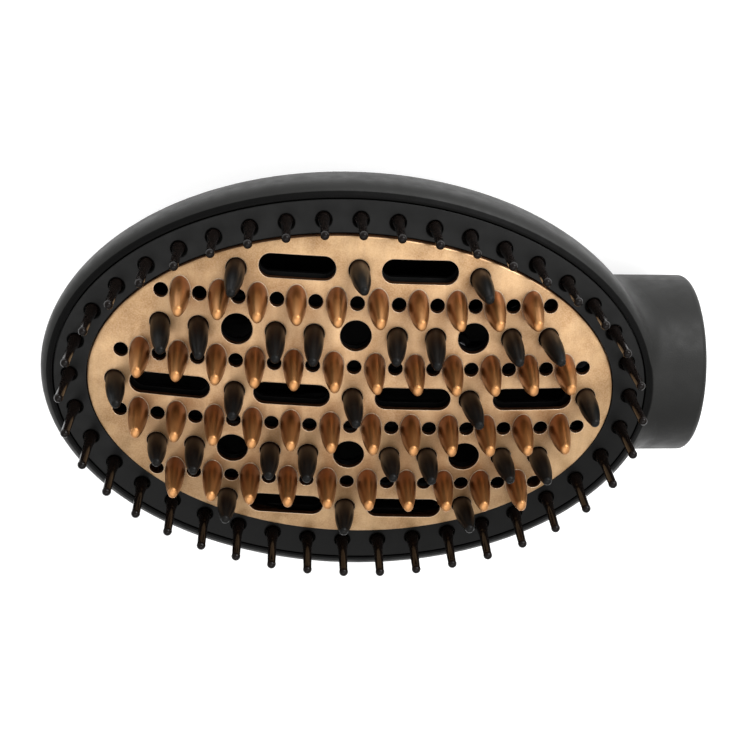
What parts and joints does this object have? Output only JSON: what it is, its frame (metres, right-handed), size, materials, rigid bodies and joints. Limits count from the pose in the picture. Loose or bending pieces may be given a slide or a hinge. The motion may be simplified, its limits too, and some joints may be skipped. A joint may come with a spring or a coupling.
{
  "type": "hot air brush head",
  "caption": "Oval paddle head of a hot air brush: crowned vented plate with teeth and bristles, ringed by ball-ended pins, on a hollow shell with a round coupling collar.",
  "frame": {"origin": "on the flat of the back, straight below the crown of the plate", "axes": "+X along the head towards the coupling collar, +Z out of the toothed plate"},
  "size_m": [0.1495, 0.0924, 0.0639],
  "materials": {
    "shell_charcoal": "fine moulded grain",
    "frame_black": "satin",
    "plate_bronze": "pearl bronze coating",
    "teeth_copper": "satin copper coating",
    "bristle_nylon": "semi-translucent dark brown nylon",
    "pin_nylon": "smoked translucent nylon",
    "inner_polymer": "glass-filled black polymer",
    "seal_silicone": "matte silicone",
    "insulation": "brown mica laminate",
    "screw_steel": "zinc plated",
    "liner_aluminium": "black anodised"
  },
  "bodies": {
    "root": {"rear_shell": "shell_charcoal", "front_frame": "frame_black", "frame_seal": "seal_silicone", "bristle_plate": "plate_bronze", "plate_teeth": "teeth_copper", "bristle_backing": "inner_polymer", "bristles_row_1": "bristle_nylon", "bristles_row_2": "bristle_nylon", "bristles_row_3": "bristle_nylon", "bristles_row_4": "bristle_nylon", "bristles_row_5": "bristle_nylon", "rim_pins_1": "pin_nylon", "rim_pins_2": "pin_nylon", "rim_pins_3": "pin_nylon", "rim_pins_4": "pin_nylon", "rim_pin_carrier": "inner_polymer", "insulating_ring": "insulation", "clamp_ring": "inner_polymer", "clamp_screws": "screw_steel", "backing_screws": "screw_steel", "air_guide": "inner_polymer", "guide_screws": "screw_steel", "coupling_sleeve": "inner_polymer", "coupling_seal": "seal_silicone", "detent_spring": "screw_steel", "neck_liner": "liner_aluminium"}
  },
  "joints": []
}
